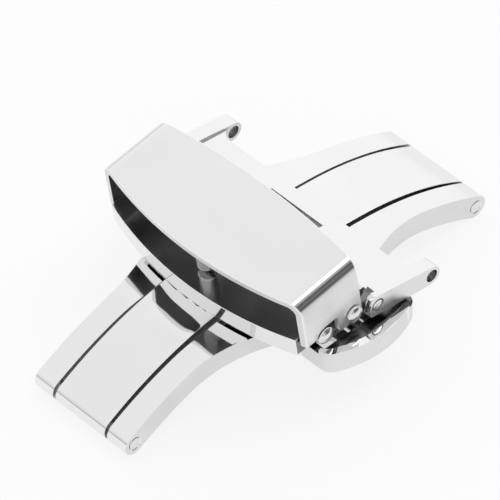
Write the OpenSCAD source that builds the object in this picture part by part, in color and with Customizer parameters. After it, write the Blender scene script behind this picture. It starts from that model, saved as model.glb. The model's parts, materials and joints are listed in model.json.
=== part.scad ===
// Folding push-button clasp for a leather watch strap, closed. Millimetres.
// X runs along the strap, Y across it, Z away from the wrist.
// The origin is in the middle of the clasp, at the level of the two fork ends that it rests on.

/* [Curved frame] */
// Distance of each hinge pin from the middle of the clasp
hinge_x = 18.1; // [16.5:0.1:19.5]
// Radius of the rounded fork ends, which is half the thickness of the frame
end_r = 1.0; // [0.9:0.05:1.1]
// Outer radius of the flatter middle of the frame
mid_r = 60; // [54:1:70]
// Half length of the flatter middle
mid_x = 8; // [6:0.5:9]
// Outer radius of the rails, from the middle down to the fork ends
rail_r = 30; // [29:0.5:34]
// Outer radius of the tongues, which stand a little proud of the rails
tongue_r = 28.5; // [27:0.5:29.5]
// Width of a tongue
tongue_w = 5.4; // [4.5:0.1:6.5]
// Gap between a tongue and the rail beside it
slit = 0.3; // [0.15:0.05:0.4]
// Width of one rail
rail_w = 2.0; // [1.4:0.1:2.6]
// Radius of the hinge pins
hinge_pin_r = 0.45; // [0.35:0.05:0.5]

/* [Button housing] */
// Half length of the housing along the strap
house_x = 4.7; // [4.6:0.1:5]
// Half width of the wide part of the housing
house_y = 8.1; // [7.9:0.1:8.2]
// Half width over the two narrow ends of the housing
house_end_y = 9.8; // [9.4:0.1:10]
// Thickness of the housing floor
floor_t = 0.65; // [0.55:0.05:0.75]
// Thickness of the button slides
slide_t = 0.6; // [0.5:0.05:0.65]
// Thickness of the sheet that closes the housing
cage_t = 0.35; // [0.25:0.05:0.4]
// Half width of a button slide
slide_x = 2.4; // [2.2:0.1:2.6]
// Distance from the middle where a rail begins to widen into the housing
flare_x = 12.5; // [11:0.5:14]
// Radius of the curve in which it widens
flare_r = 16; // [14:1:20]

/* [Buttons] */
// Reach of a button from the middle of the clasp
button_y = 13.0; // [12.9:0.1:13.8]
// Half width of a button
button_x = 4.65; // [4.3:0.05:5]
// Height of a button
button_h = 1.95; // [1.8:0.05:2]
// How far the front of a button bows out, as a share of its depth
button_bow = 0.58; // [0.4:0.02:0.7]
// Radius of the corners of a button
button_corner = 1.2; // [0.8:0.1:1.5]
// Width of the lip along the front of a button
lip_front = 0.65; // [0.45:0.05:0.8]
// Width of the lip along the sides of a button
lip_side = 0.3; // [0.2:0.05:0.4]
// Depth of the hollow inside the lip
lip_h = 0.35; // [0.15:0.05:0.45]
// How far a button travels when it is pressed
travel = 0.7; // [0.4:0.05:0.7]

/* [Return springs] */
// Radius of the wire
wire_r = 0.1; // [0.08:0.01:0.12]
// Radius of the coil, to the middle of the wire
coil_r = 0.32; // [0.25:0.01:0.34]
// Number of turns
turns = 4; // [3:1:4]

/* [Strap plate] */
// Slope of the strap plate and its cover, down to the near side
plate_tilt = 8.5; // [7.5:0.5:9]
// Distance of the cover hinge from the middle of the clasp
pivot_x = 0.96; // [0.9:0.02:1.1]
// Height of the cover hinge over the housing
pivot_up = 1.664; // [1.6:0.02:2]
// Half width of the strap plate
plate_y = 10.05; // [9.6:0.05:10.1]
// Reach of the strap plate from the cover hinge, in the middle
plate_reach = 6.9; // [6.4:0.1:7.4]
// Bow of the near edge of the strap plate
plate_bow = 1.62; // [1:0.02:2]
// Thickness of the strap plate above the hinge axis
plate_up = 1.1; // [0.9:0.05:1.3]
// Thickness of the strap plate below the hinge axis
plate_down = 0.7; // [0.6:0.05:0.75]
// Radius of the cover hinge pin
cover_pin_r = 0.4; // [0.3:0.05:0.45]
// Radius of the heads of the cover hinge pin
cover_head_r = 0.75; // [0.6:0.05:0.85]
// Distance of the snap studs from the cover hinge
stud_reach = 2.85; // [2.7:0.05:3]
// Radius of the snap studs
stud_r = 0.75; // [0.6:0.05:0.8]

/* [Cover] */
// Height of the top of the cover over the cover hinge
cover_top = 5.2; // [4.9:0.1:6]
// Thickness of the cover sheet
cover_t = 0.6; // [0.5:0.05:0.7]
// Outer radius of the two bends of the cover
bend_r = 1.3; // [1:0.1:1.8]
// Reach of the near edge of the cover from its hinge, in the middle
cover_near = 6.4; // [6:0.1:7]
// Bow of the near edge of the cover
near_bow = 1.6; // [1:0.1:2]
// Reach of the far edge of the cover from its hinge, in the middle
cover_far = 1.8; // [1.5:0.05:1.85]
// Bow of the far edge of the cover
far_bow = 0.85; // [0.8:0.05:1.1]
// Radius of the eye of each cover flap
flap_eye_r = 0.95; // [0.85:0.05:1]
// Clearance between the plate ends and the cover flaps
flap_gap = 0.15; // [0.1:0.05:0.2]
// How far the cover swings open over the closed clasp
cover_swing = 45; // [30:1:46]
// Radius of the peg that goes into a hole of the strap
peg_r = 0.8; // [0.5:0.05:1]
// Distance of the peg from the cover hinge
peg_reach = 4.7; // [4:0.1:5]
// Gap left under the peg
peg_gap = 0.15; // [0.1:0.05:0.5]

/* [Lug plate] */
// Slope of the lug plate, down to the far side
lug_tilt = 9; // [8.5:0.5:12]
// Half width over the two lugs
lug_y = 11.5; // [11.4:0.1:12]
// Gap between the lugs, for a 20 mm strap end
strap_w = 20.4; // [20.2:0.1:20.6]
// Distance from the cross pin to the far edge of the lug plate
lug_plate_reach = 4.15; // [4.1:0.05:4.5]
// Thickness of the lug plate above the cross pin
lug_plate_up = 0.7; // [0.6:0.05:0.8]
// Thickness of the lug plate below the cross pin
lug_plate_down = 0.4; // [0.35:0.05:0.45]
// Radius of the barrel round the cross pin
barrel_r = 0.8; // [0.7:0.05:0.8]
// Radius of the cross pin
cross_pin_r = 0.4; // [0.3:0.05:0.4]
// Half width of the notch in the near edge of the lug plate
notch_y = 2.8; // [2:0.1:3]
// Distance from the cross pin to the bottom of the notch
notch_reach = 2.3; // [1.8:0.1:2.4]
// Distance from the cross pin to the holes for the spring bar
bar_reach = 5.8; // [5.6:0.05:6.4]
// Radius of the holes for the spring bar
bar_hole_r = 0.55; // [0.4:0.05:0.6]
// Half height of a lug at the cross pin
lug_root = 1.0; // [0.9:0.05:1]
// Half height of a lug at its tip
lug_tip = 0.85; // [0.75:0.05:0.9]
// Radius where the lug plate runs into the lugs
lug_fillet = 1.25; // [0.6:0.05:1.5]

/* [Latch] */
// Distance of the catch posts from the middle, across the strap
post_y = 6.8; // [6.75:0.05:6.9]
// Size of a catch post along the strap
post_x = 0.9; // [0.7:0.05:1]
// Size of a catch post across the strap
post_t = 0.95; // [0.7:0.05:1]
// How far the nose of a post reaches inwards
nose = 0.35; // [0.2:0.05:0.4]
// Thickness of the foot that each post hangs from
foot_t = 0.25; // [0.2:0.05:0.3]
// Distance of the cage screws from the middle, along the strap
screw_x = 3.6; // [3.4:0.1:3.7]
// Radius of the cage screws
screw_r = 0.35; // [0.25:0.05:0.4]

/* [Hidden] */
$fn = 96;

fit = 0.05;                          // running clearance of a pin or slide
press = 0.01;                        // clearance of a pin that is pressed in
clear = 0.15;                        // free space between pieces that pass each other
play = 0.1;                          // free space round the buttons and posts
over = 1;                            // how far a cutter reaches past what it cuts
big = 60;                            // size of a cutter that takes everything on one side
smooth = 360;                        // facets of the long curves
touch = 0.002;                       // how far two curves cross where they blend

// Frame
pin_z = end_r;
frame_t = 2 * end_r;
join = asin(mid_x / mid_r);          // where the flatter middle meets the rails
rail_in = tongue_w / 2 + slit;
rail_out = rail_in + rail_w;
tongue_in = house_x + clear;

// Centre of the curve of an arch beyond its flatter middle, and height of the middle curve's centre
function arch_x(r) = mid_x * (1 - r / mid_r);
function arch_z(r) = pin_z - sqrt(pow(r - end_r, 2) - pow(hinge_x - arch_x(r), 2));
function middle_z(r) = arch_z(r) - (mid_r - r) * cos(join);

// Radius of an arc with this half width and bow
function arc_r(half, bow) = (pow(half, 2) + pow(bow, 2)) / (2 * bow);

// Housing, from its floor up
house_bottom = middle_z(rail_r) + sqrt(pow(mid_r - frame_t, 2) - pow(house_x, 2));
floor_z = house_bottom + floor_t;
slide_z = floor_z + fit;
cage_z = slide_z + slide_t + fit;
cage_top = cage_z + cage_t;
pivot_z = cage_top + pivot_up;
cheek_w = 0.7;                       // width of the cheeks of a button
house_end_x = button_x - cheek_w - play;
shoulder_y = 4.2;                    // the ears of a slide stop here
ear_w = 0.5;
ear_l = 0.55;
slide_in = shoulder_y - ear_l - fit; // inner end of a slide at rest
post_at = pivot_x + 0.04;            // middle of a post, along the strap
window_x = post_at + post_x / 2 + 0.55;  // half length of the windows that the posts come up through
window_in = post_y - post_t / 2 - nose - clear;
window_out = post_y + post_t / 2 + clear;
spring_y = 0.35;                     // half thickness of the wall between the springs
spring_z = slide_z + slide_t / 2 - play;
screw_y = post_y + play;
cage_notch = 0.55;                   // depth of the notches for the roots of the tongues
cage_notch_x = house_x - slit - cage_notch;
tenon_root = 0.4;                    // how far the tenon of a tongue runs into it
screw_head_r = screw_r + 0.2;
screw_head_h = 0.2;
screw_slot = 0.08;                   // half width of the slot in a screw head

// Buttons
button_bottom = house_bottom + clear;
button_top = button_bottom + button_h;
button_in = plate_y + travel + play; // inner face of the tall part
front_bow = button_bow * (button_y - button_in);
cheek_in = house_y + travel + 2 * play;  // inner end of the cheeks
cheek_h = 1.5;
lug_shadow = lug_root + clear;       // a button stays this far below the axis of the cross pin
shadow_y = lug_y + travel + play;

// Strap plate and cover, seen from the cover hinge: x to the far side, z up, before the tilt
cover_y = plate_y + flap_gap + cover_t;
plate_far = cover_pin_r + 0.25;
flap_bottom = 0.3;
finger_bottom = flap_eye_r - 0.15;
finger_x = 1.5;
arch_gap = 0.2;                      // free space round a snap stud
stud_neck = stud_r * 0.6;
stud_depth = 1.5;                    // how deep a stud sits in the strap plate
head_h = 0.2;                        // cylindrical part of a pin head
head_dome = 0.3;                     // height of the dome on it
stud_dome = 0.35;
peg_neck = peg_r * 0.6;
peg_sink = 0.4;                      // how deep the peg sits in the cover

// Lug plate, seen from the cross pin
lug_in = strap_w / 2;
relief_gap = 0.12;                   // free space for the flap of the open cover
foot_y = 0.8;                        // half width of the foot of a catch post

module at_pivot() {
  translate([-pivot_x, 0, pivot_z]) rotate([0, -plate_tilt, 0]) children();
}

module at_cross_pin() {
  translate([pivot_x, 0, pivot_z]) rotate([0, lug_tilt, 0]) children();
}

// A round bar across the clasp, centred on Y
module cross_bar(r, length, x = 0, z = 0) {
  translate([x, 0, z]) rotate([90, 0, 0]) cylinder(r = r, h = length, center = true);
}

// A shape drawn as seen from the side (x, z) and given a width across the clasp
module across(y0, y1) {
  translate([0, y1, 0]) rotate([90, 0, 0]) linear_extrude(height = y1 - y0) children();
}

module both_sides() {
  children();
  mirror([0, 1, 0]) children();
}

module each_corner() {
  for (sx = [-1, 1], sy = [-1, 1]) scale([sx, sy, 1]) children();
}

// A box from its lowest and highest corners
module box(low, high) {
  translate(low) cube(high - low);
}

// What the strap plate takes up, and all that is above it
module over_plate(gap = 0) {
  at_pivot() translate([0, 0, -plate_down - gap]) linear_extrude(height = big) plate_outline(gap);
}

// Everything below a level under the cross pin
module below_lugs(depth) {
  at_cross_pin() box([-big, -big, -big], [big, big, -depth]);
}

// Frame and tongues

// Everything under the outer curve of an arch, seen from the side; drop moves the curve inwards.
// The middle curve lies a touch lower, so that the curves cross instead of just touching.
module under_arch(r, drop) {
  middle = mid_x * (1 - drop / mid_r);
  fork = atan2(hinge_x - arch_x(r), pin_z - arch_z(r));
  intersection() {
    translate([0, middle_z(r)]) circle(r = mid_r - drop - touch, $fn = smooth);
    translate([-middle, 0]) square([2 * middle, big]);
  }
  for (side = [-1, 1]) scale([side, 1]) translate([arch_x(r), arch_z(r)]) intersection() {
    circle(r = r - drop, $fn = smooth);
    polygon([[0, 0], [0, big], big * [tan(fork), 1]]);
  }
}

// Side view of an arch with a flatter middle and round ends
module arch(r) {
  difference() {
    under_arch(r, touch);
    under_arch(r, frame_t - touch);
    translate([-big, -big]) square([2 * big, big]);
  }
  for (side = [-1, 1]) translate([side * hinge_x, pin_z]) circle(r = end_r);
}

// Outline of the frame from above: rails, their widening and the housing
module frame_outline() {
  flare_y = rail_out + flare_r - sqrt(pow(flare_r, 2) - pow(flare_x - house_x, 2));
  difference() {
    union() {
      square([2 * (hinge_x + end_r + over), 2 * rail_out], center = true);
      difference() {
        square([2 * flare_x, 2 * flare_y], center = true);
        for (sx = [-1, 1], sy = [-1, 1]) {
          translate([sx * flare_x, sy * (rail_out + flare_r)]) circle(r = flare_r, $fn = smooth);
        }
      }
      square([2 * house_x, 2 * house_y], center = true);
      square([2 * house_end_x, 2 * house_end_y], center = true);
    }
    for (side = [-1, 1]) {
      translate([side * (house_x + big / 2), 0]) square([big, 2 * rail_in], center = true);
    }
  }
}

module base_frame() {
  color("silver") difference() {
    intersection() {
      union() {
        across(-button_y, button_y) arch(rail_r);
        box([-tongue_in, -house_end_y, house_bottom], [tongue_in, house_end_y, cage_z]);
      }
      translate([0, 0, -over]) linear_extrude(height = big) frame_outline();
    }
    // flat bed for the cage, and free space under the two plates
    box([-tongue_in, -big, cage_z], [tongue_in, big, big]);
    over_plate(clear);
    at_cross_pin() box([0, -big, -lug_plate_down - clear], [lug_plate_reach + clear, big, big]);
    both_sides() {
      // channel of the slide, with a shoulder for its ears
      box([-slide_x - fit, slide_in - travel - clear, floor_z], [slide_x + fit, house_end_y + over, big]);
      box([-slide_x - ear_w - fit, slide_in - travel - clear, floor_z],
          [slide_x + ear_w + fit, shoulder_y, big]);
      // bed of the return spring
      box([-coil_r - wire_r - fit, spring_y, spring_z - coil_r - wire_r - fit],
          [coil_r + wire_r + fit, slide_in, big]);
      // window for the catch posts
      box([-window_x, window_in, -over], [window_x, window_out, big]);
    }
    each_corner() translate([screw_x, screw_y, floor_z]) cylinder(r = screw_r + press, h = big);
    for (side = [-1, 1]) cross_bar(hinge_pin_r + press, big, side * hinge_x, pin_z);
  }
}

module hinge_pin(side) {
  color("gainsboro") cross_bar(hinge_pin_r, 2 * rail_out, side * hinge_x, pin_z);
}

// One half of the tongues' arch, from the end of its slot in the frame to its hinge
module tongue_blank(side) {
  difference() {
    across(-tongue_w / 2, tongue_w / 2) arch(tongue_r);
    scale([side, 1, 1]) box([-big, -big, -big], [tongue_in, big, big]);
    cross_bar(hinge_pin_r + fit, big, side * hinge_x, pin_z);
  }
}

module near_tongue() {
  color("whitesmoke") difference() {
    tongue_blank(-1);
    over_plate();
  }
}

// The far tongue has a thin tenon that reaches over the housing, under the lug plate
module far_tongue() {
  color("whitesmoke") difference() {
    union() {
      tongue_blank(1);
      intersection() {
        box([cage_notch_x + clear, -tongue_w / 2, cage_z + clear],
            [tongue_in + tenon_root, tongue_w / 2, pivot_z]);
        at_cross_pin() box([0, -big, -big], [lug_plate_reach, big, 0]);
      }
      intersection() {
        box([pivot_x, -tongue_w / 2, cage_top + clear],
            [tongue_in + tenon_root, tongue_w / 2, pivot_z]);
        at_cross_pin() box([notch_reach, -big, -big], [lug_plate_reach, big, 0]);
      }
    }
    at_cross_pin() box([0, -big, -lug_plate_down], [lug_plate_reach + clear, big, big]);
  }
}

// Housing parts

module latch_cage() {
  color("darkgray") difference() {
    union() {
      box([-house_x + slit, -house_y + slit, cage_z], [house_x - slit, house_y - slit, cage_top]);
      box([-house_end_x, -house_end_y, cage_z], [house_end_x, house_end_y, cage_top]);
    }
    both_sides() box([-window_x, window_in, -over], [window_x, window_out, big]);
    // notches for the roots of the tongues
    for (side = [-1, 1]) scale([side, 1, 1]) box([cage_notch_x, -rail_in, 0], [big, rail_in, big]);
    each_corner() translate([screw_x, screw_y, 0]) cylinder(r = screw_r + press, h = big);
  }
}

module cage_screws() {
  color("gainsboro") each_corner() translate([screw_x, screw_y, 0]) difference() {
    union() {
      translate([0, 0, floor_z]) cylinder(r = screw_r, h = cage_top - floor_z);
      translate([0, 0, cage_top]) cylinder(r = screw_head_r, h = screw_head_h);
    }
    // slot of the head
    box([-over, -screw_slot, cage_top + screw_head_h / 2], [over, screw_slot, cage_top + over]);
  }
}

// A tube of wire swept along points, with the ends closed
function ring_at(p, t, r, n) =
  let (side = cross(t, [1, 0.3, 0.2]), a = side / norm(side), b = cross(t, a) / norm(t))
  [for (i = [0 : n - 1]) p + r * (cos(360 * i / n) * a + sin(360 * i / n) * b)];

module wire(path, r, n = 6) {
  last = len(path) - 1;
  rings = [for (i = [0 : last]) ring_at(path[i], path[min(i + 1, last)] - path[max(i - 1, 0)], r, n)];
  points = [for (ring = rings) for (p = ring) p];
  sides = [for (i = [0 : last - 1], j = [0 : n - 1])
    let (k = (j + 1) % n)
    for (face = [[i * n + j, i * n + k, (i + 1) * n + k], [i * n + j, (i + 1) * n + k, (i + 1) * n + j]])
      face];
  ends = [[for (j = [n - 1 : -1 : 0]) j], [for (j = [0 : n - 1]) last * n + j]];
  polyhedron(points = points, faces = concat(sides, ends), convexity = 10);
}

coil_start = spring_y;
coil_end = slide_in;
coil_lead = 2 * wire_r;
steps = 8;
pitch = (coil_end - coil_start - 2 * coil_lead) / turns;
echo(least_gap_between_turns = pitch - 2 * wire_r);

module spring_coil() {
  path = concat(
    [[coil_r, coil_start, 0]],
    [for (i = [0 : turns * steps])
      let (turn = 360 * i / steps)
      [coil_r * cos(turn), coil_start + coil_lead + pitch * i / steps, coil_r * sin(turn)]],
    [[coil_r, coil_end, 0]]);
  translate([0, 0, spring_z]) wire(path, wire_r);
}

module right_button_spring() {
  color("gray") mirror([0, 1, 0]) spring_coil();
}

module left_button_spring() {
  color("gray") spring_coil();
}

// Buttons

// Outline of a button from above, on the +Y side: straight sides, a bowed front and round corners.
// side and front move the outline inwards.
module button_outline(side = 0, front = 0) {
  half = button_x - side;
  corner = button_corner - side;
  bow_r = arc_r(button_x, front_bow) - front;
  bow_y = button_y - front - bow_r;
  corner_y = bow_y + sqrt(pow(bow_r - corner, 2) - pow(half - corner, 2));
  meet_x = bow_r * (half - corner) / (bow_r - corner);
  translate([-half, 0]) square([2 * half, corner_y]);
  for (end = [-1, 1]) translate([end * (half - corner), corner_y]) circle(r = corner);
  intersection() {
    translate([0, bow_y]) circle(r = bow_r, $fn = smooth);
    translate([-meet_x, 0]) square([2 * meet_x, button_y]);
  }
}

module left_button() {
  color("silver") difference() {
    union() {
      intersection() {
        translate([0, 0, button_bottom]) linear_extrude(height = button_h) button_outline();
        union() {
          box([-big, button_in, 0], [big, big, big]);
          // cheeks beside the housing
          for (side = [-1, 1]) scale([side, 1, 1]) {
            box([button_x - cheek_w, cheek_in, 0], [big, button_in + over, button_bottom + cheek_h]);
          }
        }
      }
      // slide with its ears
      box([-slide_x, slide_in, slide_z], [slide_x, button_in + play, slide_z + slide_t]);
      box([-slide_x - ear_w, slide_in, slide_z], [slide_x + ear_w, slide_in + ear_l, slide_z + slide_t]);
    }
    // polished hollow inside the lip
    translate([0, 0, button_top - lip_h]) linear_extrude(height = big) button_outline(lip_side, lip_front);
    // free space under the lug
    difference() {
      box([-big, button_in - over, button_bottom + over], [big, shadow_y, big]);
      below_lugs(lug_shadow);
    }
    // window for the catch posts
    box([-window_x + play, window_in + fit, -over], [window_x - play, window_out + travel, big]);
  }
}

module right_button() {
  mirror([0, 1, 0]) left_button();
}

// Near wing

module plate_outline(grow = 0) {
  near_r = arc_r(plate_y, plate_bow);
  intersection() {
    translate([-plate_reach - grow, -plate_y - grow]) {
      square([plate_reach + plate_far + 2 * grow, 2 * (plate_y + grow)]);
    }
    translate([near_r - plate_reach, 0]) circle(r = near_r + grow, $fn = smooth);
  }
}

module strap_plate() {
  color("silver") at_pivot() difference() {
    translate([0, 0, -plate_down]) linear_extrude(height = plate_down + plate_up) plate_outline();
    cross_bar(cover_pin_r + press, big);
    both_sides() across(plate_y - stud_depth, plate_y + over) {
      translate([-stud_reach, 0]) circle(r = stud_neck + press);
    }
  }
}

// A low dome for the end of a pin: a slice of a sphere that stands on Z = 0
module pin_dome(r, h) {
  ball = arc_r(r, h);
  intersection() {
    translate([0, 0, h - ball]) sphere(r = ball);
    cylinder(r = r + over, h = ball);
  }
}

module cover_hinge_pin() {
  color("gainsboro") at_pivot() {
    cross_bar(cover_pin_r, 2 * (cover_y + fit));
    both_sides() translate([0, cover_y + fit, 0]) rotate([-90, 0, 0]) {
      cylinder(r = cover_head_r, h = head_h);
      translate([0, 0, head_h]) pin_dome(cover_head_r, head_dome);
    }
  }
}

module snap_studs() {
  color("gainsboro") at_pivot() both_sides() {
    translate([-stud_reach, plate_y, 0]) rotate([-90, 0, 0]) {
      translate([0, 0, -stud_depth]) cylinder(r = stud_neck, h = stud_depth);
      cylinder(r = stud_r, h = flap_gap + cover_t);
      translate([0, 0, flap_gap + cover_t]) pin_dome(stud_r, stud_dome);
    }
  }
}

// A post that hangs upright from a wing, with a nose that points to the middle
module catch_post(x) {
  box([x - post_x / 2, post_y - post_t / 2, house_bottom + play],
      [x + post_x / 2, post_y + post_t / 2, pivot_z]);
  box([x - post_x / 2, post_y - post_t / 2 - nose, house_bottom + play],
      [x + post_x / 2, post_y, floor_z - fit]);
}

module near_catch_posts() {
  color("darkgray") both_sides() {
    intersection() {
      catch_post(-post_at);
      at_pivot() box([-big, -big, -big], [big, big, -plate_down - foot_t]);
    }
    at_pivot() box([-barrel_r, post_y - foot_y, -plate_down - foot_t],
                   [plate_far, post_y + foot_y, -plate_down]);
  }
}

// Cover

// Section of the cover across the strap: top sheet, two bends and two flaps
module sheet_section(half, top, r) {
  low = -flap_eye_r - over;
  translate([-half, low]) square([2 * half, top - r - low]);
  translate([-half + r, low]) square([2 * (half - r), top - low]);
  for (side = [-1, 1]) translate([side * (half - r), top - r]) circle(r = r);
}

module cover_section() {
  difference() {
    sheet_section(cover_y, cover_top, bend_r);
    intersection() {
      sheet_section(cover_y - cover_t, cover_top - cover_t, bend_r - cover_t);
      square([2 * (cover_y - cover_t), big], center = true);
    }
  }
}

module cover_outline() {
  near_r = arc_r(cover_y, near_bow);
  far_r = arc_r(cover_y, far_bow);
  intersection() {
    translate([near_r - cover_near, 0]) circle(r = near_r, $fn = smooth);
    translate([cover_far - far_r, 0]) circle(r = far_r, $fn = smooth);
    translate([-cover_near, -cover_y]) square([cover_near + cover_far, 2 * cover_y]);
  }
}

// What is cut away under a flap, seen from the side
module flap_cut() {
  notch_r = stud_r + arch_gap;
  corner = 0.35;
  difference() {
    translate([-cover_near - over, -big]) square([cover_near + cover_far + 2 * over, big - flap_bottom]);
    translate([-finger_x, -finger_bottom]) square([finger_x, finger_bottom]);
    circle(r = flap_eye_r);
  }
  // arch over the snap stud, open at the bottom
  translate([-stud_reach, 0]) circle(r = notch_r);
  translate([-stud_reach - notch_r, -big]) square([stud_reach + notch_r - finger_x, big]);
  translate([-stud_reach, -over]) square([stud_reach - finger_x - corner, over + notch_r]);
  translate([-stud_reach, -over]) square([stud_reach - finger_x, over + notch_r - corner]);
  translate([-finger_x - corner, notch_r - corner]) circle(r = corner);
}

module cover_shell() {
  color("gainsboro") at_pivot() difference() {
    union() {
      intersection() {
        rotate([90, 0, 90]) translate([0, 0, -big / 2]) linear_extrude(height = big) cover_section();
        translate([0, 0, -big / 2]) linear_extrude(height = big) cover_outline();
      }
      both_sides() across(cover_y - cover_t, cover_y) circle(r = flap_eye_r);
    }
    both_sides() across(cover_y - cover_t - over, cover_y + over) flap_cut();
    cross_bar(cover_pin_r + fit, big);
    translate([-peg_reach, 0, cover_top - cover_t - over]) {
      cylinder(r = peg_neck + press, h = over + peg_sink);
    }
  }
}

module strap_peg() {
  tip = plate_up + peg_gap;
  tip_h = peg_r / 2;
  color("gainsboro") at_pivot() translate([-peg_reach, 0, 0]) {
    translate([0, 0, cover_top - cover_t]) cylinder(r = peg_neck, h = peg_sink);
    translate([0, 0, tip + tip_h]) cylinder(r = peg_r, h = cover_top - cover_t - tip - tip_h);
    translate([0, 0, tip + tip_h]) mirror([0, 0, 1]) pin_dome(peg_r, tip_h);
  }
}

// Far wing

module lug_profile() {
  slope = (lug_root - lug_tip) / (bar_reach + barrel_r);
  nick = 0.3;
  end_x = bar_reach + lug_tip * slope;
  polygon([[-barrel_r, -lug_root + nick], [-barrel_r + nick, -lug_root], [end_x, -lug_tip],
           [end_x, lug_tip], [-barrel_r + nick, lug_root], [-barrel_r, lug_root - nick]]);
  translate([bar_reach, 0]) circle(r = lug_tip);
}

// Outline of the lug plate from above, with a notch in its near edge and round inner corners at the lugs
module lug_plate_outline() {
  difference() {
    translate([0, -lug_y]) square([lug_plate_reach, 2 * lug_y]);
    translate([-big + notch_reach, -notch_y]) square([big, 2 * notch_y]);
  }
  for (side = [-1, 1]) scale([1, side]) difference() {
    translate([lug_plate_reach, lug_in - lug_fillet]) square([lug_fillet, lug_fillet]);
    translate([lug_plate_reach + lug_fillet, lug_in - lug_fillet]) circle(r = lug_fillet);
  }
}

module lug_plate() {
  color("silver") difference() {
    at_cross_pin() difference() {
      union() {
        translate([0, 0, -lug_plate_down]) {
          linear_extrude(height = lug_plate_down + lug_plate_up) lug_plate_outline();
        }
        both_sides() {
          across(notch_y, lug_y) circle(r = barrel_r);
          across(lug_in, lug_y) lug_profile();
        }
      }
      cross_bar(cross_pin_r + press, big);
      cross_bar(bar_hole_r, big, bar_reach);
    }
    // free space for the flaps of the open cover
    both_sides() across(plate_y - clear, cover_y + clear) {
      translate([-pivot_x, pivot_z]) rotate(plate_tilt - cover_swing) {
        translate([-big + flap_eye_r + relief_gap, -big / 2]) square([big, big]);
      }
    }
  }
}

module lug_cross_pin() {
  color("gainsboro") at_cross_pin() cross_bar(cross_pin_r, 2 * lug_y);
}

// The feet of the far posts hug the barrel of the lug plate
module far_catch_posts() {
  foot_z = barrel_r + foot_t;
  color("darkgray") both_sides() {
    intersection() {
      catch_post(post_at);
      below_lugs(foot_z);
    }
    at_cross_pin() difference() {
      box([-barrel_r, post_y - foot_y, -foot_z], [barrel_r, post_y + foot_y, -lug_plate_down]);
      cross_bar(barrel_r, big);
    }
  }
}

base_frame();
hinge_pin(-1);  // near_hinge_pin
hinge_pin(1);  // far_hinge_pin
latch_cage();
cage_screws();
left_button_spring();
right_button_spring();
left_button();
right_button();
near_tongue();
strap_plate();
cover_hinge_pin();
snap_studs();
near_catch_posts();
cover_shell();
strap_peg();
far_tongue();
lug_plate();
lug_cross_pin();
far_catch_posts();
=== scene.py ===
import json
import math

import bmesh
import bpy
from mathutils import Matrix, Vector

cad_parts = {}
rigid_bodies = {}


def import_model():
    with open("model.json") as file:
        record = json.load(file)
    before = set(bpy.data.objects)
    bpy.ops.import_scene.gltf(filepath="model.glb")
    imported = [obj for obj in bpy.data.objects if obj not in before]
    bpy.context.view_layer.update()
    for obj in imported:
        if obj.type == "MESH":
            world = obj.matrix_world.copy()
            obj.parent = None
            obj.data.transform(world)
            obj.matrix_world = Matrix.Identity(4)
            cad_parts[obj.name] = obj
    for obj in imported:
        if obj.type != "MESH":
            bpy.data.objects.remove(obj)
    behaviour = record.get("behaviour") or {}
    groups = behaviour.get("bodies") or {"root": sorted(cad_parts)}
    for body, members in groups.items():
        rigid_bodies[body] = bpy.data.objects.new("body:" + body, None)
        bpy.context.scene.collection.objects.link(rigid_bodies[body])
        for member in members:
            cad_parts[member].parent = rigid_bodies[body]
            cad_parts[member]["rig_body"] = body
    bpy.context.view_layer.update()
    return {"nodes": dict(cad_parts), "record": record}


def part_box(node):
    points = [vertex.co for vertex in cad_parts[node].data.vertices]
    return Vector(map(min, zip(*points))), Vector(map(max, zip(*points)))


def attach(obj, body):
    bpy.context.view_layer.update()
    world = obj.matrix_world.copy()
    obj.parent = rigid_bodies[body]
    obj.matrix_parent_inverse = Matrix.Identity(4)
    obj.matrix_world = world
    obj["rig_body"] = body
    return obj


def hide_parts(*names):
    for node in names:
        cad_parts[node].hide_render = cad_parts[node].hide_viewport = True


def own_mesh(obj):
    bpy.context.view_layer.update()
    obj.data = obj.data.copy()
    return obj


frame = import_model()
scene = bpy.context.scene
mm = 0.001
print("stage: clasp loaded")


# Finishes

def newMaterial(name):
    material = bpy.data.materials.new(name)
    material.use_nodes = True
    tree = material.node_tree
    return material, tree, tree.nodes["Principled BSDF"]


def addNode(tree, kind, **settings):
    node = tree.nodes.new(kind)
    for key, value in settings.items():
        if key in node.inputs:
            node.inputs[key].default_value = value
        else:
            setattr(node, key, value)
    return node


def noiseAt(tree, scale, detail=4.0, stretch=(1, 1, 1)):
    place = addNode(tree, "ShaderNodeTexCoord")
    mapping = addNode(tree, "ShaderNodeMapping")
    mapping.inputs["Scale"].default_value = stretch
    noise = addNode(tree, "ShaderNodeTexNoise", Scale=scale, Detail=detail)
    tree.links.new(place.outputs["Object"], mapping.inputs["Vector"])
    tree.links.new(mapping.outputs["Vector"], noise.inputs["Vector"])
    return noise.outputs["Fac"]


def spread(tree, source, low, high, fromLow=0.3, fromHigh=0.7):
    ramp = addNode(tree, "ShaderNodeMapRange")
    ramp.inputs["From Min"].default_value = fromLow
    ramp.inputs["From Max"].default_value = fromHigh
    ramp.inputs["To Min"].default_value = low
    ramp.inputs["To Max"].default_value = high
    tree.links.new(source, ramp.inputs["Value"])
    return ramp.outputs["Result"]


def joinTwo(tree, first, second, operation):
    node = addNode(tree, "ShaderNodeMath", operation=operation)
    tree.links.new(first, node.inputs[0])
    tree.links.new(second, node.inputs[1])
    return node.outputs[0]


dustLook = {"size": 0.07, "color": (0.8, 0.8, 0.8), "pickLow": 0.6, "pickHigh": 0.64}


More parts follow.
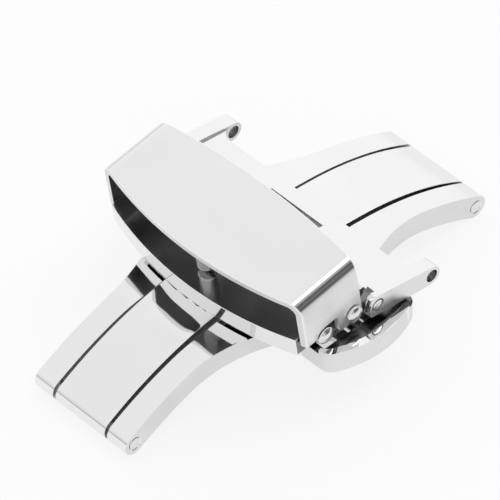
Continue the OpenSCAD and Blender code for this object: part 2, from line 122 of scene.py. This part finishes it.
# Specks of dust: round spots in some cells of a cell pattern, 0 to 1
def specksAt(tree, scale):
    place = addNode(tree, "ShaderNodeTexCoord")
    cells = addNode(tree, "ShaderNodeTexVoronoi", Scale=scale)
    tree.links.new(place.outputs["Object"], cells.inputs["Vector"])
    spot = spread(tree, cells.outputs["Distance"], 1, 0, dustLook["size"] * 0.5, dustLook["size"])
    picked = spread(tree, cells.outputs["Color"], 0, 1, dustLook["pickLow"], dustLook["pickHigh"])
    return joinTwo(tree, spot, picked, "MULTIPLY")


def mixColors(tree, share, first, second):
    mix = addNode(tree, "ShaderNodeMix", data_type="RGBA")
    for socket, color in ((mix.inputs[6], first), (mix.inputs[7], second)):
        if isinstance(color, tuple):
            socket.default_value = (*color, 1)
        else:
            tree.links.new(color, socket)
    tree.links.new(share, mix.inputs[0])
    return mix.outputs[2]


def bumpOn(tree, height, depth, below=None):
    bump = addNode(tree, "ShaderNodeBump", Distance=depth * mm, Strength=1.0)
    tree.links.new(height, bump.inputs["Height"])
    if below:
        tree.links.new(below, bump.inputs["Normal"])
    return bump.outputs["Normal"]


# Steel: smears in the gloss, a soft wave left by the buffing wheel, hairlines that run one way, and dust
def steel(name, look):
    material, tree, shader = newMaterial(name)
    shader.inputs["Metallic"].default_value = 1
    smear = noiseAt(tree, look["smearScale"])
    tree.links.new(spread(tree, smear, look["roughLow"], look["roughHigh"]), shader.inputs["Roughness"])
    shade = tuple(c * look["shade"] for c in look["tone"])
    cloud = spread(tree, noiseAt(tree, look["smearScale"] * look["shadeScale"]), 0, 1)
    tone = mixColors(tree, cloud, look["tone"], shade)
    if look["dust"]:
        tone = mixColors(tree, specksAt(tree, look["dust"]), tone, dustLook["color"])
    tree.links.new(tone, shader.inputs["Base Color"])
    wave = bumpOn(tree, noiseAt(tree, look["waveScale"], detail=1.0), look["waveDepth"])
    hairs = noiseAt(tree, look["hairScale"], detail=2.0, stretch=look["grain"])
    hair = bumpOn(tree, hairs, look["hairDepth"], wave)
    tree.links.new(hair, shader.inputs["Normal"])
    return material


mirrorLook = {
    "tone": (0.86, 0.86, 0.865), "shade": 0.96, "shadeScale": 0.6, "dust": 0,
    "roughLow": 0.03, "roughHigh": 0.08, "smearScale": 260,
    "waveScale": 150, "waveDepth": 0.003,
    "hairScale": 1500, "hairDepth": 0.0004, "grain": (1, 0.05, 1),
}
looks = {
    "mirrorSteel": mirrorLook,
    "wornEdge": dict(mirrorLook, tone=(0.93, 0.93, 0.93), roughLow=0.26, roughHigh=0.42, hairDepth=0.0015),
    "satinSteel": dict(mirrorLook, tone=(0.8, 0.8, 0.805), shade=0.92, roughLow=0.3, roughHigh=0.42,
                       hairScale=1100, hairDepth=0.0012, grain=(0.08, 1, 1)),
    "flapSteel": dict(mirrorLook, tone=(0.84, 0.84, 0.845), shade=0.92, roughLow=0.4, roughHigh=0.55,
                      smearScale=500, waveDepth=0.01),
    # the cover's inner faces: rougher steel, darkened as painted shade
    "insidePaintedShade": dict(mirrorLook, tone=(0.5, 0.5, 0.505), shade=0.6, roughLow=0.25, roughHigh=0.45,
                        hairScale=900, hairDepth=0.003, grain=(1, 1, 1)),
    # the strap plate's top in the tray under the cover: darkened as painted shade, with real dust specks
    "trayPaintedShadeAndDust": dict(mirrorLook, tone=(0.68, 0.68, 0.685), shade=0.7, roughLow=0.1, roughHigh=0.24,
                      smearScale=420, waveDepth=0.01, dust=800),
    # button hollows and the lug plate's relief for the flap: darkened as painted shade, with real dust
    # specks
    "hollowPaintedShadeAndDust": dict(mirrorLook, tone=(0.24, 0.24, 0.245), shade=0.6, roughLow=0.12, roughHigh=0.3,
                        smearScale=900, waveDepth=0.02, dust=1300),
    "pinSteel": dict(mirrorLook, tone=(0.78, 0.78, 0.79), roughLow=0.08, roughHigh=0.2, waveDepth=0.002),
    # wall of the lugs' bar hole: darkened as painted shade inside the hole
    "holePaintedShade": dict(mirrorLook, tone=(0.5, 0.5, 0.505), shade=0.4, roughLow=0.15, roughHigh=0.35,
                      smearScale=1400, waveScale=900, waveDepth=0.03),
    # walls of slits and gaps, the strap plate's side and end faces and the cross pin's countersink: darkened
    # as painted shade
    "slotPaintedShade": dict(mirrorLook, tone=(0.3, 0.3, 0.305), shade=0.8, roughLow=0.12, roughHigh=0.25),
    "pegSteel": dict(mirrorLook, tone=(0.55, 0.55, 0.555), shade=0.85, roughLow=0.06, roughHigh=0.16),
    "latchSteel": dict(mirrorLook, tone=(0.58, 0.58, 0.59), roughLow=0.25, roughHigh=0.42, hairDepth=0.002),
    "springSteel": dict(mirrorLook, tone=(0.5, 0.5, 0.52), roughLow=0.2, roughHigh=0.35),
}
finish = {name: steel(name, look) for name, look in looks.items()}
print("stage: finishes made")


# Shapes

creaseAngle = math.radians(32)   # sharper edges are rounded
flatAngle = math.radians(0.3)    # flatter edges are dissolved
weldGap = 0.0005 * mm            # nearer points are joined
cutMargin = 1e-7                 # nearer points count as on a cut
slack = 0.01                     # in mm, where the points of a face or a cut are looked up
wallSlack = 0.06                 # in mm, where the wall of a hole is looked up
facing = 0.9                     # least share of a direction in the normal of a face that looks that way
sideways = 0.8                   # the same for side faces, which may lean a little
leaning = 0.7                    # the same for faces that may lean more
domeSteps = ((0.4, 0.88), (0.8, 0.6), (1, 0.25))   # of a rivet: shares of its rise and of its radius


# The CAD piece with its flat faces whole again
def copyOf(nodeName):
    shape = bmesh.new()
    shape.from_mesh(frame["nodes"][nodeName].data)
    bmesh.ops.remove_doubles(shape, verts=shape.verts, dist=weldGap)
    bmesh.ops.dissolve_limit(shape, angle_limit=flatAngle, verts=shape.verts, edges=shape.edges)
    return shape


# A closed tube through rings of points
def tube(rings):
    shape = bmesh.new()
    rings = [[shape.verts.new(point) for point in ring] for ring in rings]
    for ring, following in zip(rings, rings[1:]):
        for k in range(len(ring)):
            after = (k + 1) % len(ring)
            shape.faces.new((ring[k], ring[after], following[after], following[k]))
    shape.faces.new(rings[0])
    shape.faces.new(rings[-1])
    bmesh.ops.recalc_face_normals(shape, faces=shape.faces)
    return shape


def fullTurn(sides):
    return [2 * math.pi * k / sides for k in range(sides)]


# A turned bar along Y at x, z, through (place, radius) pairs
def turned(profile, x, z, sides=48):
    return tube([[(x + radius * math.cos(a), y, z + radius * math.sin(a)) for a in fullTurn(sides)]
                 for y, radius in profile])


# A bar whose two ends are riveted into sunk holes: a low dome with a ring gap round it
def rivetedBar(look, half, x, z):
    head, dome = look["head"], look["dome"]
    end = [(half - look["sunk"], look["radius"]), (half - look["rim"], head)]
    end += [(half + dome * rise, head * reach) for rise, reach in domeSteps]
    profile = [(-y, radius) for y, radius in reversed(end)] + end
    return turned([(y * mm, radius * mm) for y, radius in profile], x, z)


# Opens the outer rim of a pin's hole into a small cone, on both sides of the clasp
def countersink(shape, x, z, face, look):
    def offAxis(point):
        return math.hypot(point.x - x, point.z - z) / mm

    wide, deep = look["wide"], look["deep"]
    wallReach = look["hole"] + wallSlack
    for side in (-1, 1):
        wall = [f for f in shape.faces if all(offAxis(v.co) < wallReach for v in f.verts)]
        near = [*wall, *{e for f in wall for e in f.edges}, *{v for f in wall for v in f.verts}]
        cut = Vector((0, side * (face - deep) * mm, 0))
        bmesh.ops.bisect_plane(shape, geom=near, plane_co=cut, plane_no=(0, 1, 0), dist=cutMargin)
        for vert in shape.verts:
            if abs(vert.co.y - side * face * mm) < slack * mm and offAxis(vert.co) < wallReach:
                away = Vector((vert.co.x - x, 0, vert.co.z - z)).normalized() * wide * mm
                vert.co = Vector((x, vert.co.y, z)) + away


# Rounds the sharp edges and gives the faces that this makes
def roundEdges(shape, width):
    sharp = [e for e in shape.edges if len(e.link_faces) == 2 and e.calc_face_angle(0) > creaseAngle]
    if not width or not sharp:
        return set()
    made = bmesh.ops.bevel(shape, geom=sharp, offset=width * mm, segments=3, profile=0.5, affect="EDGES",
                           clamp_overlap=True)
    return set(made["faces"])


# Shading normals: flat faces stay flat up to their rims, and curved ones run smoothly over their facets
def cornerNormals(shape, rounded):
    limit = math.cos(creaseAngle)
    area = {face: face.calc_area() for face in shape.faces}

    def blend(faces, near):
        total = Vector((0, 0, 0))
        for face in faces:
            if face.normal.dot(near) > limit:
                total += face.normal * area[face]
        return total.normalized() if total.length > 0 else near

    normals = []
    for face in shape.faces:
        for vert in face.verts:
            flats = [f for f in vert.link_faces if f not in rounded]
            if face not in rounded:
                normals.append(blend(flats, face.normal))
            elif flats:
                normals.append(blend(flats, max((f.normal for f in flats), key=face.normal.dot)))
            else:
                normals.append(blend(vert.link_faces, face.normal))
    return normals


# Gives a shape its steels, its rounded and worn edges, and its place on the body of the node it stands for
def dress(nodeName, shape, look, finishOf=None):
    names = [look["steel"], "wornEdge"]
    for face in shape.faces:
        name = (finishOf and finishOf(face)) or look["steel"]
        if name not in names:
            names.append(name)
        face.material_index = names.index(name)
    rounded = roundEdges(shape, look["edge"])
    for face in shape.faces:
        face.smooth = True
        if face in rounded:
            face.material_index = 1
    mesh = bpy.data.meshes.new(nodeName + "_polished")
    normals = cornerNormals(shape, rounded)
    shape.to_mesh(mesh)
    shape.free()
    mesh.normals_split_custom_set(normals)
    for name in names:
        mesh.materials.append(finish[name])
    piece = bpy.data.objects.new(nodeName + "_polished", mesh)
    scene.collection.objects.link(piece)
    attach(piece, frame["nodes"][nodeName]["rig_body"])
    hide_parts(nodeName)
    return piece


def satinSides(face):
    return "satinSteel" if abs(face.normal.y) > sideways else None


def hingeAxis(jointName):
    joints = frame["record"]["behaviour"]["joints"]
    return next(joint for joint in joints if joint["name"] == jointName)["pos_m"]


# Curved frame: its rails, and the tongue between them, dip a little before they run in under the strap plate

dipLook = {
    "rails": 0.25, "tongue": 0.24, "start": -12.0, "full": -8.2, "end": -5.0, "above": 3.0,
    "cutsAlong": (-12.0, -11.2, -10.4, -9.6, -8.9, -8.2, -5.0, -4.75),
    "cutsAcross": (-0.95, -0.88, -0.78, -0.65, -0.45, 0, 0.45, 0.65, 0.78, 0.88, 0.95),   # of the width
    "fadePower": 4,
}
frameLook = {"steel": "mirrorSteel", "edge": 0.05}
frameHole = {"hole": 0.45, "wide": 0.62, "deep": 0.14}


# Lowers the top of a shape by a depth in mm; with a width, the dip fades out towards both sides
def dipTops(shape, depth, width=None):
    start, full, end = (dipLook[key] for key in ("start", "full", "end"))
    cuts = [((x * mm, 0, 0), (1, 0, 0)) for x in dipLook["cutsAlong"]]
    if width:
        cuts += [((0, width * share * mm, 0), (0, 1, 0)) for share in dipLook["cutsAcross"]]
    for place, normal in cuts:
        bmesh.ops.bisect_plane(shape, geom=[*shape.verts, *shape.edges, *shape.faces],
                               plane_co=place, plane_no=normal, dist=cutMargin)
    tops = {vert for face in shape.faces if face.normal.z > leaning for vert in face.verts}
    for vert in tops:
        x = vert.co.x / mm
        if start < x < end + slack and vert.co.z > dipLook["above"] * mm:
            share = min(1, (x - start) / (full - start))
            kept = 1 - abs(vert.co.y / mm / width) ** dipLook["fadePower"] if width else 1
            vert.co.z -= depth * mm * share * share * (3 - 2 * share) * max(kept, 0)


def makeFrame():
    shape = copyOf("base_frame")
    for jointName in ("near_wing_hinge", "far_wing_hinge"):
        x, _, z = hingeAxis(jointName)
        countersink(shape, x, z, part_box("near_hinge_pin")[1][1] / mm, frameHole)
    dipTops(shape, dipLook["rails"])
    dress("base_frame", shape, frameLook, satinSides)


makeFrame()


# Hinge pins, riveted in the fork ends

hingePinLook = {"steel": "pinSteel", "edge": 0, "radius": 0.45, "head": 0.53, "sunk": 0.14,
                "rim": 0.02, "dome": 0.06}
for nodeName, jointName in (("near_hinge_pin", "near_wing_hinge"), ("far_hinge_pin", "far_wing_hinge")):
    x, _, z = hingeAxis(jointName)
    dress(nodeName, rivetedBar(hingePinLook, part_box(nodeName)[1][1] / mm, x, z), hingePinLook)
print("stage: frame and hinge pins")


# Cage over the button slides, with its screws

cageLook = {"steel": "latchSteel", "edge": 0.03}
screwLook = {"steel": "latchSteel", "edge": 0.03}
dress("latch_cage", copyOf("latch_cage"), cageLook)
dress("cage_screws", copyOf("cage_screws"), screwLook)


# Buttons: mirror-bright lip, satin sides, rougher hollow darkened as painted shade

buttonLook = {"steel": "mirrorSteel", "edge": 0.1, "hollowLow": 5.2, "hollowHigh": 5.7, "wallLean": 0.3}


def buttonFinish(face):
    height = face.calc_center_median().z / mm
    # the floor of the hollow is darkened as painted shade
    if face.normal.z > facing and buttonLook["hollowLow"] < height < buttonLook["hollowHigh"]:
        return "hollowPaintedShadeAndDust"
    wall = abs(face.normal.z) < buttonLook["wallLean"]
    return "satinSteel" if wall and height < buttonLook["hollowLow"] else None


for nodeName in ("left_button", "right_button"):
    dress(nodeName, copyOf(nodeName), buttonLook, buttonFinish)


# Return springs: one wire, close turns at both ends

springLook = {"steel": "springSteel", "edge": 0, "coil": 0.32, "wire": 0.1, "turns": 6.5, "closed": 1,
              "closePitch": 2.05, "sides": 10, "steps": 28, "pushed": 0.7846}   # pushed: length that is left


def springPath(low, high):
    turns, closed, wire = (springLook[key] for key in ("turns", "closed", "wire"))
    count = round(turns * springLook["steps"])
    middle = (low + high) / 2
    start, end = low.y + wire * mm, high.y - wire * mm
    pitchEnd = springLook["closePitch"] * wire * mm
    free = (end - start - 2 * closed * pitchEnd) / (turns - 2 * closed)
    for step in range(count + 1):
        turn = turns * step / count
        body = min(max(turn - closed, 0), turns - 2 * closed)
        y = start + pitchEnd * (turn - body) + free * body
        angle = 2 * math.pi * turn
        yield Vector((middle.x + springLook["coil"] * mm * math.cos(angle), y,
                      middle.z + springLook["coil"] * mm * math.sin(angle)))


def sweepWire(path, radius, sides):
    rings = []
    for k, point in enumerate(path):
        ahead = (path[min(k + 1, len(path) - 1)] - path[max(k - 1, 0)]).normalized()
        across = ahead.cross(Vector((0, 1, 0))).normalized()
        over = across.cross(ahead)
        rings.append([point + radius * (math.cos(a) * across + math.sin(a) * over) for a in fullTurn(sides)])
    return tube(rings)


for side, nodeName, jointName in ((1, "left_button_spring", "left_button_push"),
                                  (-1, "right_button_spring", "right_button_push")):
    low, high = (Vector(corner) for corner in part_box(nodeName))
    wire = sweepWire(list(springPath(low, high)), springLook["wire"] * mm, springLook["sides"])
    spring = dress(nodeName, wire, springLook)
    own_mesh(spring)
print("stage: cage, buttons and springs")


# Near wing: tongue, strap plate with its pin and studs, catch posts

tongueLook = {"steel": "mirrorSteel", "edge": 0.05, "half": 2.7}
plateLook = {"steel": "mirrorSteel", "edge": 0.06}
coverPinLook = {"steel": "pinSteel", "edge": 0.04}
studLook = {"steel": "pinSteel", "edge": 0.04}
postLook = {"steel": "latchSteel", "edge": 0.03}

pivot = Vector(hingeAxis("cover_hinge"))
tilt = math.radians(8.5)   # slope of the strap plate
along = Vector((math.cos(tilt), 0, math.sin(tilt)))
upright = Vector((-math.sin(tilt), 0, math.cos(tilt)))


# The tongue's side walls, along the slits, are darkened as painted shade
def tongueFinish(face):
    return "slotPaintedShade" if abs(face.normal.y) > sideways else None


def plateFinish(face):
    # the top, under the cover, is darkened as painted shade
    if face.normal.dot(upright) > facing:
        return "trayPaintedShadeAndDust"
    # side and end faces are darkened as painted shade in the gaps
    return "slotPaintedShade" if abs(face.normal.y) > facing else None


tongue = copyOf("near_tongue")
dipTops(tongue, dipLook["tongue"], tongueLook["half"])
dress("near_tongue", tongue, tongueLook, tongueFinish)
dress("strap_plate", copyOf("strap_plate"), plateLook, plateFinish)
dress("cover_hinge_pin", copyOf("cover_hinge_pin"), coverPinLook)
dress("snap_studs", copyOf("snap_studs"), studLook)
dress("near_catch_posts", copyOf("near_catch_posts"), postLook)


# Cover: polished outside with satin flaps; inside rougher and darkened as painted shade

coverLook = {
    "steel": "mirrorSteel", "edge": 0.14, "half": 10.8, "top": 5.2, "sheet": 0.6, "bend": 1.3,
    "near": 6.4, "nearBow": 1.6, "far": 1.8, "farBow": 0.85,   # reach from the hinge, bow of that edge
    "flapBottom": 0.3, "archAt": 2.85, "archRadius": 0.95, "archCorner": 0.35,
    "fingerX": 1.5, "fingerBottom": 0.8, "fingerCorner": 0.2, "eye": 0.95, "pinHole": 0.45,
    "insideFrom": 3, "skin": 0.2, "downward": 0.4, "inward": 0.3,   # where the inner side begins
}
coverSteps = {"flat": 72, "bend": 10, "arch": 12, "corner": 6, "foot": 5, "eye": 14, "hole": 24}
pegLook = {"steel": "pegSteel", "edge": 0.05}


# Faces under the cover and faces turned inwards get the darker steel: painted shade inside the cover
def coverFinish(face):
    away = face.calc_center_median() - pivot
    under = face.normal.dot(upright) < -coverLook["downward"]
    if under and away.dot(upright) > coverLook["insideFrom"] * mm:
        return "insidePaintedShade"
    within = abs(away.y) < (coverLook["half"] - coverLook["skin"]) * mm
    if within and face.normal.y * away.y < 0 and abs(face.normal.y) > coverLook["inward"]:
        return "insidePaintedShade"
    rim = abs(face.normal.dot(along)) > leaning
    return "flapSteel" if rim or abs(face.normal.y) > facing else None


def bowRadius(bow):
    return (coverLook["half"] ** 2 + bow ** 2) / (2 * bow)


def nearX(y):
    radius = bowRadius(coverLook["nearBow"])
    return radius - coverLook["near"] - math.sqrt(radius ** 2 - y ** 2)


def farX(y):
    radius = bowRadius(coverLook["farBow"])
    return coverLook["far"] - radius + math.sqrt(radius ** 2 - y ** 2)


def arcPoints(x, y, radius, start, end, steps):
    turns = [math.radians(start + (end - start) * k / steps) for k in range(steps + 1)]
    return [(x + radius * math.cos(a), y + radius * math.sin(a)) for a in turns]


# Outer and inner curve of the bent sheet, seen along the strap
def coverSection(inset):
    middle, low = coverLook["half"] - coverLook["bend"], coverLook["top"] - coverLook["bend"]
    radius, steps = coverLook["bend"] - inset, coverSteps["flat"]
    rightBend = arcPoints(-middle, low, radius, 180, 90, coverSteps["bend"])
    flat = [(-middle + 2 * middle * k / steps, low + radius) for k in range(1, steps)]
    leftBend = arcPoints(middle, low, radius, 90, 0, coverSteps["bend"])
    return rightBend + flat + leftBend


# Lower outline of a flap in four parts: near edge and arch over the stud, side of the finger at the hinge's
# height, foot of the finger and eye of the hinge, far edge at the hinge's height
def flapOutline(y):
    arch, corner, finger = coverLook["archRadius"], coverLook["archCorner"], coverLook["fingerX"]
    bottom, low, eye = coverLook["flapBottom"], coverLook["fingerBottom"], coverLook["eye"]
    small = coverLook["fingerCorner"]
    archStart = 180 - math.degrees(math.asin(bottom / arch))
    eyeStart = -180 + math.degrees(math.asin(low / eye))
    overStud = arcPoints(-coverLook["archAt"], 0, arch, archStart, 90, coverSteps["arch"])
    besideStud = arcPoints(-finger - corner, arch - corner, corner, 90, 0, coverSteps["corner"])
    foot = arcPoints(-finger + small, small - low, small, 180, 270, coverSteps["foot"])
    roundPin = arcPoints(0, 0, eye, eyeStart, 0, coverSteps["eye"])[:-1]
    upper = [(nearX(y), bottom), *overStud, *besideStud]
    return upper, [(-finger, 0)], [*foot, *roundPin], [(farX(y), 0)]


def makeCover():
    shape = bmesh.new()

    def point(x, y, z):
        return shape.verts.new(pivot + (x * along + Vector((0, y, 0)) + z * upright) * mm)

    sheet = coverLook["sheet"]
    rows = [[point(nearX(y), y, z), point(farX(y), y, z), point(farX(v), v, w), point(nearX(v), v, w)]
            for (y, z), (v, w) in zip(coverSection(0), coverSection(sheet))]
    for row, following in zip(rows, rows[1:]):
        for k in range(len(row)):
            after = (k + 1) % len(row)
            shape.faces.new((row[k], row[after], following[after], following[k]))

    # One flap face, split into two at the height of its hole; gives its outline and its hole
    def flapFace(first, last, y):
        upper, left, lower, right = [[point(x, y, z) for x, z in part] for part in flapOutline(abs(y))]
        hole = arcPoints(0, 0, coverLook["pinHole"], 180, -180, coverSteps["hole"])[:-1]
        ring = [point(x, y, z) for x, z in hole]
        half = len(ring) // 2
        shape.faces.new([first, *upper, *left, *ring[:half + 1], *right, last])
        shape.faces.new([*left, *lower, *right, *ring[half:], ring[0]])
        return [first, *upper, *left, *lower, *right, last], [*ring, ring[0]]

    for row, side in ((rows[0], -1), (rows[-1], 1)):
        outside = flapFace(row[0], row[1], side * coverLook["half"])
        inside = flapFace(row[3], row[2], side * (coverLook["half"] - sheet))
        for outer, inner in zip(outside, inside):
            for k in range(len(outer) - 1):
                shape.faces.new((outer[k], outer[k + 1], inner[k + 1], inner[k]))
    bmesh.ops.recalc_face_normals(shape, faces=shape.faces)
    bmesh.ops.dissolve_limit(shape, angle_limit=math.radians(0.05), verts=[], edges=shape.edges)
    dress("cover_shell", shape, coverLook, coverFinish)


makeCover()
dress("strap_peg", copyOf("strap_peg"), pegLook)
print("stage: near wing and cover")


# Far wing: tongue, lug plate with its cross pin, catch posts

lugLook = {"steel": "mirrorSteel", "edge": 0.1, "barHole": 0.65, "wallLean": 0.5,
           "notchY": 2.85, "notchX": 3.0, "notchMore": 0.32}
reliefLook = {"inner": 9.8, "outer": 11.1, "reach": 0.95, "low": 7.2}   # room for the flap of the open cover
lugHole = {"hole": 0.4, "wide": 0.62, "deep": 0.18, "wallLean": 0.95}
crossPinLook = {"steel": "pinSteel", "edge": 0, "radius": 0.4, "head": 0.47, "sunk": 0.18,
                "rim": 0.02, "dome": 0.04}


def boxMiddle(nodeName):
    low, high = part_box(nodeName)
    return (low[0] + high[0]) / 2, (low[2] + high[2]) / 2


barX, _, barZ = frame["record"]["mounts"][0]["pos_m"]


def lugFinish(face):
    middle = face.calc_center_median()
    lean = abs(face.normal.y)
    # the bar hole's walls are darkened as painted shade
    if math.hypot(middle.x - barX, middle.z - barZ) < lugLook["barHole"] * mm and lean < lugLook["wallLean"]:
        return "holePaintedShade"
    x, z = boxMiddle("lug_cross_pin")
    # the countersink round the cross pin is darkened as painted shade
    if math.hypot(middle.x - x, middle.z - z) < lugHole["wide"] * mm and lean < lugHole["wallLean"]:
        return "slotPaintedShade"
    # the relief beside the lugs is darkened as painted shade between flap and lug
    beside = reliefLook["inner"] * mm < abs(middle.y) < reliefLook["outer"] * mm
    within = middle.x < reliefLook["reach"] * mm and middle.z > reliefLook["low"] * mm
    if beside and within and face.normal.z < leaning:
        return "hollowPaintedShadeAndDust"
    if lean > sideways and face.normal.y * middle.y < 0:
        return "flapSteel"
    return satinSides(face)


def makeLugPlate():
    x, z = boxMiddle("lug_cross_pin")
    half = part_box("lug_cross_pin")[1][1] / mm
    shape = copyOf("lug_plate")
    countersink(shape, x, z, half, lugHole)
    notch = {vert for face in shape.faces if face.normal.x < -facing for vert in face.verts
             if abs(vert.co.y) < lugLook["notchY"] * mm and vert.co.x > lugLook["notchX"] * mm}
    for vert in notch:
        vert.co.x += lugLook["notchMore"] * mm
    dress("lug_plate", shape, lugLook, lugFinish)
    dress("lug_cross_pin", rivetedBar(crossPinLook, half, x, z), crossPinLook)


dress("far_tongue", copyOf("far_tongue"), tongueLook, tongueFinish)
makeLugPlate()
dress("far_catch_posts", copyOf("far_catch_posts"), postLook)
print("stage: far wing")


# Floor, light and camera

studio = {
    "floor": 0.93, "floorRough": 0.8, "floorSize": 4, "glow": 0.8,   # glow: how much of it is plain white
    "sky": [(0.0, 0.5), (0.12, 0.6), (0.3, 0.88), (0.6, 0.94), (1.0, 0.94)],   # height, brightness
    "brightSide": (0.8, 0.5, 0.33), "bright": 1.07, "brightFar": 0.7, "brightNear": 0.97,
    "darkSide": (0.5, -0.76, 0.42), "darkLow": 0.03, "darkHigh": 0.4, "darkNear": 0.92, "darkFar": 0.74,
    "clutterScale": 7.0, "clutterDetail": 3.0, "clutterLow": 0.35, "clutterHigh": 0.65,
    "lampSize": 0.3, "lampPower": 0.4, "lampSide": (0.487, -0.2, 0.85), "lampAway": 0.5,
}


def makeFloor():
    bpy.ops.mesh.primitive_plane_add(size=studio["floorSize"], location=(0, 0, 0))
    floor = bpy.context.object
    floor.name = "floor"
    paint, tree, shader = newMaterial("floorPaint")
    shader.inputs["Base Color"].default_value = (studio["floor"],) * 3 + (1,)
    shader.inputs["Roughness"].default_value = studio["floorRough"]
    glow = addNode(tree, "ShaderNodeEmission", Strength=1.0)
    rays = addNode(tree, "ShaderNodeLightPath")
    seen = joinTwo(tree, rays.outputs["Is Camera Ray"], rays.outputs["Is Glossy Ray"], "MAXIMUM")
    seen = joinTwo(tree, seen, rays.outputs["Is Transmission Ray"], "MAXIMUM")
    share = spread(tree, seen, 0, studio["glow"], 0, 1)
    mix = addNode(tree, "ShaderNodeMixShader")
    tree.links.new(share, mix.inputs[0])
    tree.links.new(shader.outputs[0], mix.inputs[1])
    tree.links.new(glow.outputs[0], mix.inputs[2])
    tree.links.new(mix.outputs[0], tree.nodes["Material Output"].inputs["Surface"])
    floor.data.materials.append(paint)


# How far a direction of the sky lies towards a side, 0 to 1
def towards(tree, direction, side, far, near):
    dot = addNode(tree, "ShaderNodeVectorMath", operation="DOT_PRODUCT")
    dot.inputs[1].default_value = Vector(side).normalized()
    tree.links.new(direction, dot.inputs[0])
    return spread(tree, dot.outputs["Value"], 0, 1, far, near)


def makeSky():
    world = bpy.data.worlds.new("studio")
    scene.world = world
    world.use_nodes = True
    tree = world.node_tree
    sky = tree.nodes["Background"]
    direction = addNode(tree, "ShaderNodeTexCoord").outputs["Generated"]
    split = addNode(tree, "ShaderNodeSeparateXYZ")
    ramp = addNode(tree, "ShaderNodeValToRGB")
    stops = ramp.color_ramp.elements
    while len(stops) < len(studio["sky"]):
        stops.new(0.5)
    for stop, (height, bright) in zip(stops, studio["sky"]):
        stop.position = height
        stop.color = (bright, bright, bright, 1)
    tree.links.new(direction, split.inputs[0])
    tree.links.new(split.outputs["Z"], ramp.inputs["Fac"])
    bright = towards(tree, direction, studio["brightSide"], studio["brightFar"], studio["brightNear"])
    color = mixColors(tree, bright, ramp.outputs["Color"], (studio["bright"],) * 3)
    clutter = addNode(tree, "ShaderNodeTexNoise", Scale=studio["clutterScale"],
                      Detail=studio["clutterDetail"])
    tree.links.new(direction, clutter.inputs["Vector"])
    patch = spread(tree, clutter.outputs["Fac"], studio["darkLow"], studio["darkHigh"],
                   studio["clutterLow"], studio["clutterHigh"])
    dark = towards(tree, direction, studio["darkSide"], studio["darkFar"], studio["darkNear"])
    color = mixColors(tree, dark, color, patch)
    tree.links.new(color, sky.inputs["Color"])
    white = addNode(tree, "ShaderNodeBackground", Strength=1.0)
    white.inputs["Color"].default_value = (1, 1, 1, 1)
    rays = addNode(tree, "ShaderNodeLightPath")
    mix = addNode(tree, "ShaderNodeMixShader")
    tree.links.new(rays.outputs["Is Camera Ray"], mix.inputs[0])
    tree.links.new(sky.outputs[0], mix.inputs[1])
    tree.links.new(white.outputs[0], mix.inputs[2])
    tree.links.new(mix.outputs[0], tree.nodes["World Output"].inputs["Surface"])


def makeLamp():
    lamp = bpy.data.objects.new("softBox", bpy.data.lights.new("softBox", "AREA"))
    lamp.data.energy = studio["lampPower"]
    lamp.data.size = studio["lampSize"]
    side = Vector(studio["lampSide"]).normalized()
    lamp.location = side * studio["lampAway"]
    lamp.rotation_euler = side.to_track_quat("Z", "Y").to_euler()
    scene.collection.objects.link(lamp)


makeFloor()
makeSky()
makeLamp()

view = {
    "azimuth": -43.7, "elevation": 45.2, "roll": -0.2, "distance": 515.77 * mm,
    "aim": (0, 0, 3.8 * mm), "left": 0.975 * mm, "up": 1.073 * mm,
    "focal": 6761.6, "picture": 500, "sensor": 36,   # focal length and picture in pixels, sensor in mm
}


def placeCamera():
    azimuth = math.radians(view["azimuth"])
    elevation = math.radians(view["elevation"])
    back = Vector((math.sin(azimuth) * math.cos(elevation), -math.cos(azimuth) * math.cos(elevation),
                   math.sin(elevation)))
    right = Vector((math.cos(azimuth), math.sin(azimuth), 0))
    up = back.cross(right)
    roll = math.radians(view["roll"])
    rightRolled = math.cos(roll) * right + math.sin(roll) * up
    upRolled = math.cos(roll) * up - math.sin(roll) * right
    camera = bpy.data.objects.new("camera", bpy.data.cameras.new("camera"))
    scene.collection.objects.link(camera)
    spot = Vector(view["aim"]) + view["distance"] * back - view["left"] * rightRolled + view["up"] * upRolled
    turn = Matrix((rightRolled, upRolled, back)).transposed().to_4x4()
    camera.matrix_world = Matrix.Translation(spot) @ turn
    camera.data.sensor_width = view["sensor"]
    camera.data.lens = view["focal"] * view["sensor"] / view["picture"]
    camera.data.clip_start = 0.01
    camera.data.clip_end = 5
    scene.camera = camera


placeCamera()
scene.view_settings.view_transform = "Standard"
print("stage: studio set")
